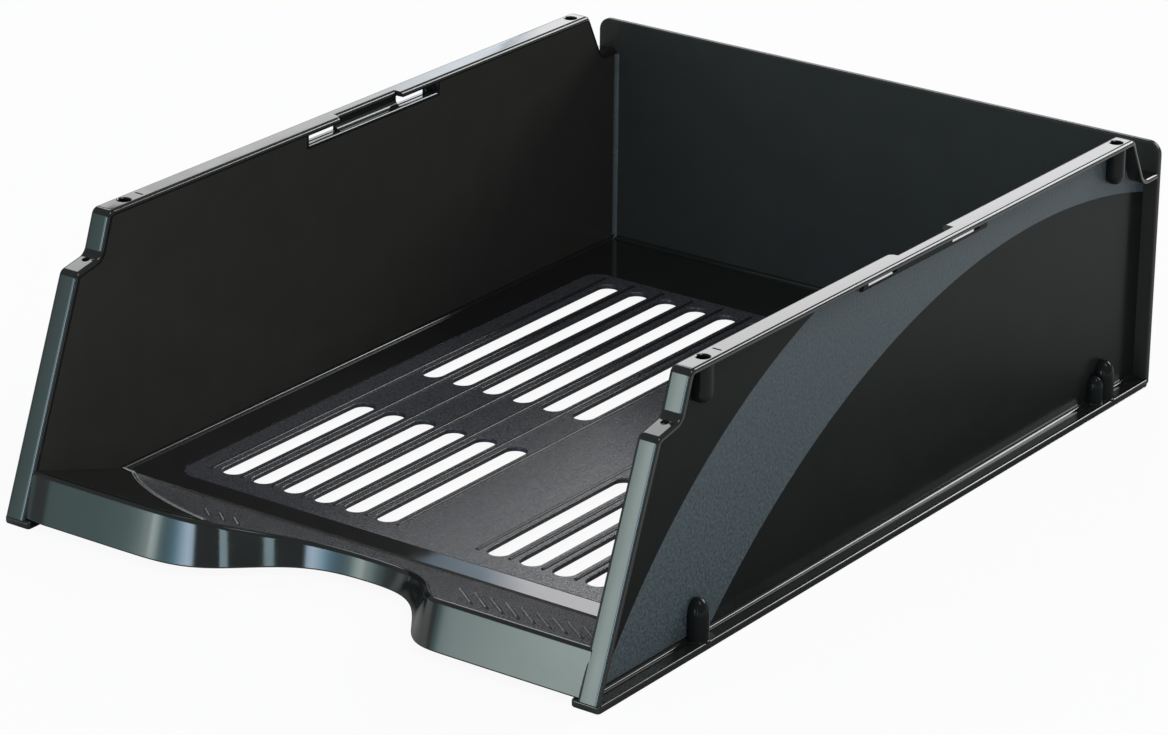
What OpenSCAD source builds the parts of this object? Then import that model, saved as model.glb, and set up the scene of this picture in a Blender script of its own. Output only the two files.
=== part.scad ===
// Large-capacity letter tray, moulded in one colour of polystyrene.
// +X is to the right seen from the open front, +Y runs to the back wall, +Z is up.
// The origin lies on the table, under the middle of the tray.
// The moulding is divided where its form changes, and the divisions meet face to face.

/* [Overall] */
// Width over the two base rails
tray_w = 255; // [235:1:330]
// Depth from the front feet to the back face
tray_d = 356; // [330:1:440]
// Height of the side walls
tray_h = 103; // [98:1:140]
// Height of the back wall
back_h = 96.5; // [92:0.5:97]

/* [Walls and floor] */
// Thickness of the side walls
wall_t = 2.8; // [2:0.1:3.2]
// Thickness of the back wall
back_t = 2.5; // [2:0.1:4]
// Thickness of the floor, the ramp and the lip
floor_t = 2; // [1.6:0.1:2.6]
// Thickness of the rim and of the front flange
flange_t = 2; // [1.6:0.1:2.4]
// Thickness of the base rails, which is the gap under the floor
rail_h = 3; // [2.5:0.1:4]
// Width of the base rails
rail_w = 11.5; // [10.5:0.1:13]
// Width of the ledge outside the side wall
ledge_w = 6.3; // [6:0.1:7]
// How far the rim stays inside the edge of the base rail
rim_inset = 0.5; // [0.3:0.1:0.8]
// Radius of the coves where the walls meet the floor and each other
cove_r = 2.4; // [1.6:0.1:3.2]

/* [Side outline] */
// Depth of the sloping front edge
slope_run = 32; // [26:0.5:38]
// Drop from the rim to the step in the front edge
step_drop = 18; // [16:0.5:25]
// Depth of the step in the front edge
step_run = 12.2; // [10:0.1:16]
// Rise of the step towards the back
step_rise = 2.5; // [1:0.1:4]
// Lean of the edge above the step
upper_run = 5.5; // [3:0.1:8]
// Distance from the back face to the end of the top rim
rim_back_gap = 21; // [19:0.5:26]
// Distance from the back face to the foot of the rear notch
notch_back_gap = 12; // [10:0.5:15]
// Drop from the rim to the ledge in the rear notch
notch_drop = 18.2; // [15:0.2:25]
// Radius of the bends in the side outline
bend_r = 3.2; // [2.6:0.1:4]
// Radius of the top corners of the back wall
back_corner_r = 5; // [3:0.5:8]

/* [Floor pattern] */
// Distance from the front feet to the foot of the ramp
ramp_front_gap = 52.8; // [50:0.2:56]
// Width of the glossy border in front of the textured panel
border_front = 9.2; // [7:0.2:12]
// Width of the glossy border beside the textured panel
border_side = 15.9; // [13:0.1:18]
// Width of the glossy border behind the textured panel
border_back = 36.5; // [30:0.5:44]
// Corner radius of the textured panel
panel_r = 8; // [5:0.5:12]
// Width of a slot
slot_w = 8.4; // [6:0.1:9.4]
// Distance between neighbouring slots
slot_pitch = 13.9; // [12:0.1:14]
// Distance from the side of the panel to the outermost slot
slot_margin = 15.8; // [13:0.1:17]
// Distance from the front of the panel to the front row
row_margin = 10; // [8:0.2:14]
// Distance from the back row to the back of the panel
row_back_margin = 8; // [7:0.5:14]
// Length of the front row of slots
front_row = 82.5; // [70:0.5:90]
// Length of the bridge between the two rows
row_bridge = 34; // [26:0.5:40]
// Slots left of the middle
slots_left = 6; // [4:1:6]
// Slots right of the middle
slots_right = 5; // [4:1:6]
// Radius of the ridges beside the slots
ridge_r = 0.6; // [0.4:0.05:0.8]
// Length of a ridge past the end of its slot
ridge_extra = 4; // [2:0.2:5]

/* [Ramp and lip] */
// Height of the lip
lip_h = 19.6; // [16:0.2:24]
// Distance from the front feet to the foot of the lip
lip_setback = 1; // [0.4:0.1:2]
// Depth of the finger cut-out
cutout_depth = 30.7; // [24:0.1:36]
// Reach of the bottom of the finger cut-out to the left of the middle
bottom_left = 4; // [1:0.5:10]
// Width of the long, gentle flank on the left of the cut-out
flank_left = 58; // [46:1:64]
// Reach of the bottom of the finger cut-out to the right of the middle
bottom_right = 22; // [14:0.5:26]
// Width of the short, steep flank on the right of the cut-out
flank_right = 37; // [32:1:50]
// Radius of the edge of the glossy pad on the left of the ramp
pad_edge_r = 142; // [120:1:180]
// Distance from the wall to the start of the pad's edge
pad_gap = 5.4; // [3:0.1:8]
// Height of the glossy pad above the ramp
pad_t = 0.6; // [0.4:0.1:1]
// Grip ribs on the right of the ramp
ribs_right = 9; // [6:1:10]
// Grip ribs on the left of the ramp
ribs_left = 3; // [2:1:4]
// Distance between neighbouring grip ribs
rib_pitch = 6.4; // [5:0.1:7]
// Radius of a grip rib
rib_r = 0.5; // [0.3:0.05:0.7]

/* [Stacking] */
// Distance from the edge of the base rail to the stacking holes
pin_inset = 4.7; // [4.5:0.05:5.2]
// Distance from the front feet to the front stacking holes
pin_front = 62; // [58:0.5:70]
// Distance from the back face to the rear stacking holes
pin_back = 28; // [26:0.5:36]
// Radius of a stacking hole
pin_hole_r = 2.4; // [1.8:0.1:2.7]
// Outer radius of the sockets under the rim
socket_r = 3.8; // [3.4:0.1:4]
// Length of a rim socket
socket_len = 16; // [12:0.5:20]
// Depth of the hole in a rim socket
socket_hole = 11; // [6:0.5:11]
// Outer radius of the lugs on the base rail
lug_r = 4.1; // [3.6:0.1:4.3]
// Height of a lug above the table
lug_h = 18; // [14:0.5:22]
// Depth of the hole in the foot of a lug
lug_hole = 9; // [6:0.5:11]

/* [Clip pockets] */
// Distance from the front feet to the clip pocket
pocket_front = 158; // [140:1:170]
// Length of the clip pocket
pocket_len = 80; // [70:1:100]
// Height of the clip pocket under the rim
pocket_h = 5.2; // [4.6:0.1:8]
// How far the pocket bulges out of the side wall
pocket_bulge = 1.7; // [1:0.1:3]
// Thickness of the pocket's skin
pocket_t = 1.4; // [1:0.1:1.8]
// Length of the windows at the ends of the pocket
window_len = 18; // [12:0.5:20]
// Width of the rim beside its notch
bridge_w = 5.6; // [4:0.1:6.2]

/* [Side band] */
// Depth of the textured band in the side wall
band_t = 0.4; // [0.3:0.05:0.6]
// Distance from the front feet to the band's upper edge at the wall's foot
band_start = 8.8; // [6:0.1:14]
// Distance from the front feet to the band's lower edge at the wall's foot
band_foot = 70.7; // [62:0.1:78]
// Distance from the front feet to where the upper edge meets the rim
band_top = 143.6; // [130:0.2:160]
// Drop from the rim to the lower edge at the back wall
band_back_drop = 26.5; // [23:0.5:31]
// Rise of the upper edge above its chord
band_top_rise = 14.7; // [10:0.1:18]
// Rise of the lower edge above its chord
band_low_rise = 38.5; // [32:0.5:42]

/* [Hidden] */
$fn = 48;
cut = 1; // how far a cutting tool runs past what it cuts
arc_steps = 6; // steps in a bend of the side outline
far = 2 * (tray_w + tray_d);

front_y = -tray_d / 2;
back_y = tray_d / 2;
back_in = back_y - back_t;
rail_out = tray_w / 2;
rail_in = rail_out - rail_w;
rim_out = rail_out - rim_inset;
wall_out = rail_out - ledge_w;
wall_in = wall_out - wall_t;
floor_z = rail_h + floor_t;
rim_low = tray_h - flange_t;
step_z = tray_h - step_drop;
notch_z = tray_h - notch_drop;

// Places on the floor
ramp_y = front_y + ramp_front_gap;
panel_front = ramp_y + border_front;
panel_back = back_in - border_back;
panel_half = wall_in - border_side;
row_front = panel_front + row_margin;
back_row = panel_back - row_back_margin - row_front - front_row - row_bridge;
slot_x = panel_half - slot_margin;

// The ramp is a flat sheet that rises from ramp_y to the top of the lip
lip_y = front_y + lip_setback;
lip_top_y = lip_y + (lip_h - rail_h) * (lip_h - floor_z) / (ramp_y - lip_y);
ramp_a = atan((lip_h - floor_z) / (ramp_y - lip_top_y));
// Distance up the slope to the outer face of the lip
lip_u = (ramp_y - lip_y) * cos(ramp_a) - (floor_z - rail_h) * sin(ramp_a);
cutout_u = cutout_depth * cos(ramp_a);
lip_steps = 48;

pin_x = rail_out - pin_inset;
pin_front_y = front_y + pin_front;
pin_back_y = back_y - pin_back;
lug_dome = lug_r * 1.5; // height of the rounded top of a lug
side_lug_r = 3.2; // the lower lobe beside a rear lug
side_lug_gap = 6.2;
side_lug_h = 13.5;

pocket_y = front_y + pocket_front;
pocket_out = wall_out + pocket_bulge;
pocket_low = rim_low - pocket_h;
pocket_cove = 2.6; // radius of the scooped floor of the pocket
window_sill = 1; // height of the windows above the floor of the pocket
window_front = pocket_y + 3;
window_back = pocket_y + pocket_len - 5 - window_len;
notch_r = 2;
notch_from = window_front + window_len + 0.4;
notch_len = window_back - notch_from + 0.4;

step_hole_r = 1.5; // the small hole at the back of the step
mark_len = 3.6; // the short slit behind the front stacking hole
mark_w = 0.9;
foot_r = 1.6;

// Points of a bend of radius r at b, on the way from a to c
function unit(v) = v / norm(v);
function turn(a) = a > 180 ? a - 360 : a < -180 ? a + 360 : a;
function bend(a, b, c, r) =
    let (u = unit(a - b), v = unit(c - b), half = acos(u * v) / 2,
         m = b + unit(u + v) * r / sin(half),
         p = b + u * r / tan(half) - m, q = b + v * r / tan(half) - m,
         start = atan2(p.y, p.x), sweep = turn(atan2(q.y, q.x) - start))
    [for (i = [0:arc_steps]) m + r * [cos(start + sweep * i / arc_steps),
                                      sin(start + sweep * i / arc_steps)]];
function rounded(path, radii) = [
    path[0],
    for (i = [1:len(path) - 2]) each bend(path[i - 1], path[i], path[i + 1], radii[i - 1]),
    path[len(path) - 1]
];

// Centre of the circle of radius r through a and b, on the left of the way from a to b
function arc_centre(a, b, r) =
    let (d = unit(b - a), h = norm(b - a) / 2) (a + b) / 2 + [-d.y, d.x] * sqrt(r * r - h * h);

// Radius of an arc that rises by rise above its chord
function arc_radius(chord, rise) =
    let (h = norm(chord[1] - chord[0]) / 2) (h * h + rise * rise) / (2 * rise);

// A path moved by t to its right-hand side, which is the inside of the outline
function right_of(a, b) = let (d = unit(b - a)) [d.y, -d.x];
function crossing(p, d, q, e) = p + d * ((q.x - p.x) * e.y - (q.y - p.y) * e.x)
                                      / (d.x * e.y - d.y * e.x);
function inset_path(path, t) = let (n = len(path) - 1) [
    path[0] + t * right_of(path[0], path[1]),
    for (i = [1:n - 1])
        crossing(path[i - 1] + t * right_of(path[i - 1], path[i]), path[i] - path[i - 1],
                 path[i] + t * right_of(path[i], path[i + 1]), path[i + 1] - path[i]),
    path[n] + t * right_of(path[n - 1], path[n])
];

// The side outline from the front foot over the top to the back wall, as [y, z]
foot = [front_y, rail_h];
slope_top = [front_y + slope_run, step_z];
step_back = slope_top + [step_run, step_rise];
front_top = [step_back.x + upper_run, tray_h];
back_top = [back_y - rim_back_gap, tray_h];
notch_foot = [back_y - notch_back_gap, notch_z];
below_foot = foot - 10 * unit(slope_top - foot);
side_path = [below_foot, slope_top, step_back, front_top, back_top, notch_foot,
             [back_y + cut, notch_z]];
inner_path = inset_path(side_path, flange_t);
// A bend keeps its centre, so an outer bend loses the flange's thickness and an inner one gains it
bends_out = [bend_r, -bend_r, bend_r, bend_r, -bend_r];
outer_line = rounded(side_path, [for (b = bends_out) abs(b + (b < 0 ? flange_t / 2 : 0))]);
inner_line = rounded(inner_path, [for (b = bends_out) abs(b < 0 ? b - flange_t / 2
                                                                : b - flange_t + 0.01)]);

// Shape of the finger cut-out: 1 along its bottom, 0 beside it
function dip(x) = let (a = x < 0 ? (-x - bottom_left) / flank_left : (x - bottom_right) / flank_right)
    a <= 0 ? 1 : a >= 1 ? 0 : (1 + cos(180 * a)) / 2;
function lip_line(x) = -(lip_u - cutout_u * dip(x));
function lip_slope(x) = (lip_line(x + 0.01) - lip_line(x - 0.01)) / 0.02;
cutout_left = bottom_left + flank_left;
cutout_w = cutout_left + bottom_right + flank_right;
lip_xs = [-wall_in, for (i = [0:lip_steps]) -cutout_left + cutout_w * i / lip_steps, wall_in];
lip_outer = [for (x = lip_xs) [x, lip_line(x)]];
// The inner face of the lip, square to the outer one by the floor's thickness
lip_inner = [for (x = lip_xs) let (s = abs(x) == wall_in ? 0 : lip_slope(x))
             [x, lip_line(x)] + floor_t * unit([-s, 1])];

// Puts a shape drawn as [y, z] and h thick at x, upright and square to X
module upright(x, h) {
    translate([x, 0, 0]) rotate([90, 0, 90]) linear_extrude(h) children();
}

// Lays a shape drawn as [x, distance down the slope] on the ramp, with its top at up
module on_ramp(up, h) {
    translate([0, ramp_y, floor_z]) rotate([-ramp_a, 0, 0])
        translate([0, 0, up - h]) linear_extrude(h) children();
}

// The left-hand piece of a pair, as drawn, or its mirror image
module side(right) {
    if (right) children();
    else mirror([1, 0, 0]) children();
}

module inside_frame() {
    translate([front_y - far, rail_h]) square([far + back_in - front_y, far]);
}

module ribbon_2d() {
    intersection() {
        polygon(concat(outer_line, [for (i = [len(inner_line) - 1:-1:0]) inner_line[i]]));
        inside_frame();
    }
}

module web_2d() {
    intersection() {
        polygon(concat(inner_line, [[back_y + cut, -cut], [below_foot.x, -cut]]));
        inside_frame();
    }
}

module slot_2d(w, len) {
    translate([0, w / 2]) circle(d = w);
    translate([-w / 2, w / 2]) square([w, len - w]);
    translate([0, len - w / 2]) circle(d = w);
}

module panel_2d() {
    len = panel_back - panel_front;
    translate([-panel_half + panel_r, panel_front]) square([2 * (panel_half - panel_r), len]);
    translate([-panel_half, panel_front + panel_r]) square([2 * panel_half, len - 2 * panel_r]);
    for (x = [-1, 1], y = [panel_front + panel_r, panel_back - panel_r])
        translate([x * (panel_half - panel_r), y]) circle(r = panel_r);
}

slot_places = [for (i = [0:slots_left - 1]) -slot_x + i * slot_pitch,
               for (i = [0:slots_right - 1]) slot_x - i * slot_pitch];
ridge_places = [for (i = [0:slots_left]) -slot_x + (i - 0.5) * slot_pitch,
                for (i = [0:slots_right]) slot_x - (i - 0.5) * slot_pitch];

module floor_panel() {
    ridge_len = front_row + row_bridge + back_row + ridge_extra;
    color("#46464e") {
        translate([0, 0, rail_h]) linear_extrude(floor_t) difference() {
            panel_2d();
            for (x = slot_places) {
                translate([x, row_front]) slot_2d(slot_w, front_row);
                translate([x, row_front + front_row + row_bridge]) slot_2d(slot_w, back_row);
            }
        }
        for (x = ridge_places) intersection() {
            translate([x, row_front, floor_z - 0.1]) rotate([-90, 0, 0])
                cylinder(r = ridge_r, h = ridge_len);
            translate([x - ridge_r, row_front, floor_z - 0.1])
                cube([2 * ridge_r, ridge_len, ridge_r]);
        }
    }
}

module border_2d(x, y, w, len) {
    difference() {
        translate([x, y]) square([w, len]);
        panel_2d();
    }
}

// A quarter-round cove with its corner at the origin, filling towards -X and +Y
module cove_2d() {
    difference() {
        translate([-cove_r, 0]) square(cove_r);
        translate([-cove_r, cove_r]) circle(r = cove_r);
    }
}

module floor_border_front() {
    color("#26282a") translate([0, 0, rail_h]) linear_extrude(floor_t)
        border_2d(-panel_half, ramp_y, 2 * panel_half, border_front + panel_r);
}

module floor_border_back() {
    color("#26282a") {
        translate([0, 0, rail_h]) linear_extrude(floor_t)
            border_2d(-panel_half, panel_back - panel_r, 2 * panel_half,
                      back_in - panel_back + panel_r);
        translate([-panel_half, back_in, floor_z]) rotate([90, 0, 90])
            linear_extrude(2 * panel_half) cove_2d();
    }
}

module floor_border(right) {
    color("#26282a") side(right) {
        translate([panel_half, ramp_y, rail_h]) cube([wall_in - panel_half,
                                                      back_in - ramp_y, floor_t]);
        translate([wall_in, back_in, floor_z]) rotate([90, 0, 0])
            linear_extrude(back_in - ramp_y) cove_2d();
    }
}

module front_ramp() {
    color("#46464e") intersection() {
        on_ramp(0, floor_t) polygon(concat(lip_inner, [[wall_in, 5], [-wall_in, 5]]));
        translate([-far / 2, ramp_y - far, rail_h]) cube(far);
    }
}

// A place on the ramp, given as [x, distance down the slope] and a height square to it
function ramp_point(p, up) = [p.x, ramp_y + p.y * cos(ramp_a) + up * sin(ramp_a),
                              floor_z - p.y * sin(ramp_a) + up * cos(ramp_a)];
// The foot below a place of the lip. The lip leans out by the ramp's angle all along its wave
function lip_foot(p, slope) = let (out = unit([slope * cos(ramp_a), -1]),
                                   reach = (p.z - rail_h) * tan(ramp_a))
    [p.x + out.x * reach, p.y + out.y * reach, rail_h];

// The lip is a leaning sheet that runs along the wave and is cut off level under the tray
module front_lip() {
    points = [for (i = [0:len(lip_xs) - 1])
        let (slope = abs(lip_xs[i]) == wall_in ? 0 : lip_slope(lip_xs[i]),
             top = ramp_point(lip_outer[i], 0), under = ramp_point(lip_inner[i], -floor_t))
        each [top, lip_foot(top, slope), lip_foot(under, slope), under,
              ramp_point(lip_inner[i], 0)]];
    sides = 5; // corners of a section
    last = len(points) - sides;
    color("#3c4a4b") polyhedron(points, concat(
        [[for (k = [0:sides - 1]) k], [for (k = [sides - 1:-1:0]) last + k]],
        [for (a = [0:sides:last - 1], k = [0:sides - 1])
            let (n = (k + 1) % sides, b = a + sides)
            each [[a + k, b + k, b + n], [a + k, b + n, a + n]]]));
}

// The edge of the pad is an arc from beside the foot of the ramp to the flank of the cut-out
pad_start = [-wall_in + pad_gap, 0];
pad_end = [-0.72 * cutout_left, lip_line(-0.72 * cutout_left) + floor_t];

module corner_pad() {
    last_x = 0.86 * pad_end.x;
    color("#202224") on_ramp(pad_t, pad_t) difference() {
        polygon(concat([for (p = lip_inner) if (p.x < last_x) p], [[last_x, 0], [-wall_in, 0]]));
        translate(arc_centre(pad_start, pad_end, pad_edge_r)) circle(r = pad_edge_r, $fn = 96);
    }
}

// One rib runs down the ramp at 45 degrees, from u up the slope
module grip_rib(x, u, len) {
    translate([0, ramp_y, floor_z]) rotate([-ramp_a, 0, 0]) intersection() {
        translate([x, -u, 0]) rotate([0, 90, -45]) cylinder(r = rib_r, h = len);
        translate([-far / 2, -far / 2, 0]) cube(far);
    }
}

module grip_ribs() {
    rib_len = 23;
    rib_u = lip_u - floor_t - rib_len - 1; // where the ribs start, up the slope
    last_x = wall_in - rib_len * cos(45) - 2; // the rib beside the right wall
    color("#505058") {
        for (i = [0:ribs_right - 1]) grip_rib(last_x - i * rib_pitch, rib_u, rib_len);
        for (i = [0:ribs_left - 1])
            grip_rib(1 - cutout_left + i * rib_pitch, rib_u, rib_len / 2);
    }
}

module at_pins() {
    for (y = [pin_front_y, pin_back_y]) translate([pin_x, y, 0]) children();
}

// Solid form of a socket under the rim, with its round end
module socket_form() {
    translate([0, 0, tray_h - socket_len + socket_r])
        cylinder(r = socket_r, h = socket_len - socket_r);
    translate([0, 0, tray_h - socket_len + socket_r]) sphere(r = socket_r);
}

// A bullet that stands on the table and ends in a pointed dome
module bullet(r, h) {
    dome = min(lug_dome, h / 2) * r / lug_r;
    rotate_extrude() polygon([[0, 0], [r, 0], [r, h - dome],
        for (a = [15:15:75]) [r * cos(a), h - dome + dome * sin(a)], [0, h]]);
}

module lug_form(rear) {
    bullet(lug_r, lug_h);
    if (rear) translate([0, -side_lug_gap, 0]) bullet(side_lug_r, side_lug_h);
}

module lug_forms() {
    translate([pin_x, pin_front_y, 0]) lug_form(false);
    translate([pin_x, pin_back_y, 0]) lug_form(true);
}

// What the clip pocket fills of the wall
module pocket_block() {
    translate([wall_in - cut, pocket_y, pocket_low])
        cube([pocket_out - wall_in + cut, pocket_len, pocket_h]);
}

// The two edges of the band are arcs over chords that run down to the wall's foot
upper_chord = [[front_y + band_top, rim_low], [front_y + band_start, rail_h]];
lower_chord = [[back_in, tray_h - band_back_drop], [front_y + band_foot, rail_h]];

module band_2d() {
    upper_r = arc_radius(upper_chord, band_top_rise);
    upper = arc_centre(upper_chord[0], upper_chord[1], upper_r);
    lower_r = arc_radius(lower_chord, band_low_rise);
    intersection() {
        web_2d();
        difference() {
            union() {
                translate(upper) circle(r = upper_r, $fn = 128);
                translate([upper.x, 0]) square([tray_d, tray_h]);
            }
            translate(arc_centre(lower_chord[0], lower_chord[1], lower_r))
                circle(r = lower_r, $fn = 128);
        }
    }
}

// The band lies in a shallow recess in the wall's outer face
module band_prism(h) {
    upright(wall_out - band_t, h) band_2d();
}

// Everything that stands in the side wall
module wall_guests() {
    pocket_block();
    lug_forms();
    at_pins() socket_form();
}

module side_wall(right) {
    color("#242526") side(right) difference() {
        upright(wall_in, wall_t) web_2d();
        band_prism(band_t + cut);
        wall_guests();
    }
}

module side_band(right) {
    color("#46555a") side(right) difference() {
        band_prism(band_t);
        wall_guests();
    }
}

flange_end = front_top.x + 2 * bend_r; // where the front flange meets the top rim

module front_flange(right) {
    color("#5d6a69") side(right) difference() {
        upright(wall_in, rim_out - wall_in) intersection() {
            ribbon_2d();
            translate([front_y - cut, 0]) square([flange_end - front_y + cut, far]);
        }
        translate([(wall_in + rim_out) / 2, step_back.x - 2 * step_hole_r, step_z - 4 * flange_t])
            cylinder(r = step_hole_r, h = 6 * flange_t);
    }
}

// The rim's inner edge is cut back over the clip pocket, round at the front and square behind
module notch_2d() {
    depth = rim_out - bridge_w - wall_in;
    translate([wall_in - cut, notch_from]) square([depth + cut, notch_len]);
    difference() {
        translate([wall_in - cut, notch_from - notch_r]) square([cut + notch_r, notch_r + cut]);
        translate([wall_in + notch_r, notch_from - notch_r]) circle(r = notch_r);
    }
}

module top_rim(right) {
    color("#b4b6b8") side(right) difference() {
        upright(wall_in, rim_out - wall_in) intersection() {
            ribbon_2d();
            translate([flange_end, 0]) square([far, far]);
        }
        translate([0, 0, rim_low - cut]) linear_extrude(flange_t + 2 * cut) notch_2d();
        at_pins() cylinder(r = socket_r, h = tray_h + cut);
        translate([pin_x - mark_len / 2, pin_front_y + 2 * socket_r, tray_h - flange_t / 3])
            cube([mark_len, mark_w, flange_t]);
    }
}

// A trough that is open to the inside of the tray, with a window at each end
module clip_pocket(right) {
    inner_out = pocket_out - pocket_t;
    inner_low = pocket_low + pocket_t;
    color("#2c2e30") side(right) difference() {
        translate([wall_in, pocket_y, pocket_low])
            cube([pocket_out - wall_in, pocket_len, pocket_h]);
        translate([0, pocket_y + pocket_len - pocket_t, 0]) rotate([90, 0, 0])
            linear_extrude(pocket_len - 2 * pocket_t) difference() {
                translate([wall_in - cut, inner_low])
                    square([inner_out - wall_in + cut, pocket_h]);
                translate([inner_out - pocket_cove, inner_low]) difference() {
                    square(pocket_cove);
                    translate([0, pocket_cove]) circle(r = pocket_cove);
                }
            }
        for (y = [window_front, window_back])
            translate([wall_in + wall_t / 2, y, inner_low + window_sill])
                cube([pocket_out - wall_in, window_len, pocket_h]);
    }
}

module base_rail(right) {
    color("#303436") side(right) difference() {
        union() {
            translate([rail_in, front_y + foot_r, 0])
                cube([rail_w, back_in - front_y - foot_r, rail_h]);
            translate([rail_in + foot_r, front_y, 0]) cube([rail_w - 2 * foot_r, foot_r, rail_h]);
            for (x = [rail_in + foot_r, rail_out - foot_r])
                translate([x, front_y + foot_r, 0]) cylinder(r = foot_r, h = rail_h);
        }
        lug_forms();
    }
}

module back_wall() {
    outline_r = [back_corner_r, back_corner_r];
    color("#222324") {
        translate([0, back_y, 0]) rotate([90, 0, 0]) linear_extrude(back_t) {
            translate([-rim_out, 0]) square([2 * rim_out, back_h - back_corner_r]);
            translate([-rim_out + back_corner_r, 0])
                square([2 * (rim_out - back_corner_r), back_h]);
            for (x = [-1, 1])
                translate([x * (rim_out - back_corner_r), back_h - back_corner_r])
                    circle(r = back_corner_r);
        }
        for (right = [false, true]) side(right)
            translate([wall_in, back_in, floor_z + cove_r]) mirror([0, 1, 0])
                linear_extrude(notch_z - flange_t - floor_z - cove_r) cove_2d();
    }
}

module rim_socket(right, y) {
    color("#303234") side(right) translate([pin_x, y, 0]) difference() {
        socket_form();
        translate([0, 0, tray_h - socket_hole]) cylinder(r = pin_hole_r, h = socket_hole + cut);
    }
}

module stacking_lug(right, rear) {
    color("#3a4042") side(right) translate([pin_x, rear ? pin_back_y : pin_front_y, 0])
        difference() {
            lug_form(rear);
            translate([0, 0, -cut]) cylinder(r = pin_hole_r, h = lug_hole + cut);
        }
}

floor_panel();
floor_border_front();
floor_border_back();
floor_border(false);  // floor_border_left
floor_border(true);  // floor_border_right
front_ramp();
corner_pad();
grip_ribs();
front_lip();
side_wall(false);  // side_wall_left
side_wall(true);  // side_wall_right
side_band(false);  // side_band_left
side_band(true);  // side_band_right
front_flange(false);  // front_flange_left
front_flange(true);  // front_flange_right
top_rim(false);  // top_rim_left
top_rim(true);  // top_rim_right
clip_pocket(false);  // clip_pocket_left
clip_pocket(true);  // clip_pocket_right
base_rail(false);  // base_rail_left
base_rail(true);  // base_rail_right
back_wall();
rim_socket(false, pin_front_y);  // rim_socket_front_left
rim_socket(true, pin_front_y);  // rim_socket_front_right
rim_socket(false, pin_back_y);  // rim_socket_rear_left
rim_socket(true, pin_back_y);  // rim_socket_rear_right
stacking_lug(false, false);  // stacking_lug_front_left
stacking_lug(true, false);  // stacking_lug_front_right
stacking_lug(false, true);  // stacking_lug_rear_left
stacking_lug(true, true);  // stacking_lug_rear_right
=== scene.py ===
# %% [markdown]
# # A deep letter tray
# The real tray is one moulding of black polystyrene. Most of it is polished, while the middle of
# the floor, the ramp and an arc on each side carry a fine moulded grain. It could be modelled as
# one mesh, but its regions differ in form and finish, so they are built one by one. The frame
# gives their places; this scene rounds their edges, adds the grain and lights the whole.

# %% Start
import math

import bmesh
import bpy
from mathutils import Matrix, Vector
from mathutils.geometry import tessellate_polygon


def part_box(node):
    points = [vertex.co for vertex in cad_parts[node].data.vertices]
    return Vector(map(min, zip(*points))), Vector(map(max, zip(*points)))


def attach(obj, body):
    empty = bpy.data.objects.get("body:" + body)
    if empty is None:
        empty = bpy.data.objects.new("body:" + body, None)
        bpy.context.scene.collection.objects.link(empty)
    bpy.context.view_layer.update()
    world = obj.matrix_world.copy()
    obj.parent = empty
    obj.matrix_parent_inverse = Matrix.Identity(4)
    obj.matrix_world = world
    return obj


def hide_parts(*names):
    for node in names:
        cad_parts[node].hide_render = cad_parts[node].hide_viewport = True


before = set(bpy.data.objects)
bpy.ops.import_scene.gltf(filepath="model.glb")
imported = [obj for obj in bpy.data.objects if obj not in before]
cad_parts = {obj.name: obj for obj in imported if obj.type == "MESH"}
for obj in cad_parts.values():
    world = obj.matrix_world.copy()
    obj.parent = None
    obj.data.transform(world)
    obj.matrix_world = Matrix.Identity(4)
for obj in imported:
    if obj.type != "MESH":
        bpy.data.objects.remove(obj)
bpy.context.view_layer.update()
print("nodes in the frame:", len(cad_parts))


def new_object(name, data):
    """An object in the scene that shows the data."""
    piece = bpy.data.objects.new(name, data)
    bpy.context.scene.collection.objects.link(piece)
    return piece


# %% [markdown]
# Lengths below are in millimetres, as on a drawing, and become metres only where a mesh is made.
# The places of walls, floor and rims could be typed in, but read from the frame they can't
# disagree with it.

# %% Sizes from the frame
MM = 0.001
X, Y, Z = 0, 1, 2


def span(node, axis):
    """Lowest and highest place of a node along an axis, in millimetres."""
    low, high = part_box(node)
    return round(low[axis] / MM, 2), round(high[axis] / MM, 2)


rail_in, rail_out = span("base_rail_right", X)
front_y, back_in = span("base_rail_right", Y)
rail_h = span("base_rail_right", Z)[1]
wall_in, wall_out = span("side_wall_right", X)
rim_out = span("top_rim_right", X)[1]
tray_h = span("top_rim_right", Z)[1]
back_y = span("back_wall", Y)[1]
back_h = span("back_wall", Z)[1]
panel_half = span("floor_panel", X)[1]
panel_front, panel_back = span("floor_panel", Y)
ramp_y = span("floor_border_front", Y)[0]
floor_z = span("floor_border_front", Z)[1]
band_in = span("side_band_right", X)[0]
pocket_y, pocket_end = span("clip_pocket_right", Y)
pocket_low, rim_low = span("clip_pocket_right", Z)
pocket_out = span("clip_pocket_right", X)[1]
pin_x = sum(span("rim_socket_front_right", X)) / 2
pin_front_y = sum(span("rim_socket_front_right", Y)) / 2
pin_back_y = sum(span("rim_socket_rear_right", Y)) / 2
print("clear inside width", 2 * wall_in, "height of the walls", tray_h, "floor at", floor_z)

# %% [markdown]
# The camera stands to the right of the open front and looks down on the tray with a long lens,
# so that the far walls hardly get smaller. A wide lens from nearby would fill the picture too, but
# it would splay the walls. The place was found by matching the corners of the tray.

# %% Camera
picture_width = 1168  # pixels
sensor_width = 36.0
camera_place = Vector((0.9128, -1.2868, 0.6614))
camera_turn = math.radians(35.56)  # how far it looks to the left of the tray's own direction
camera_tilt = math.radians(21.73)  # how far it looks down
camera_roll = math.radians(0.65)
focal_in_pixels = 4719.8

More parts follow.
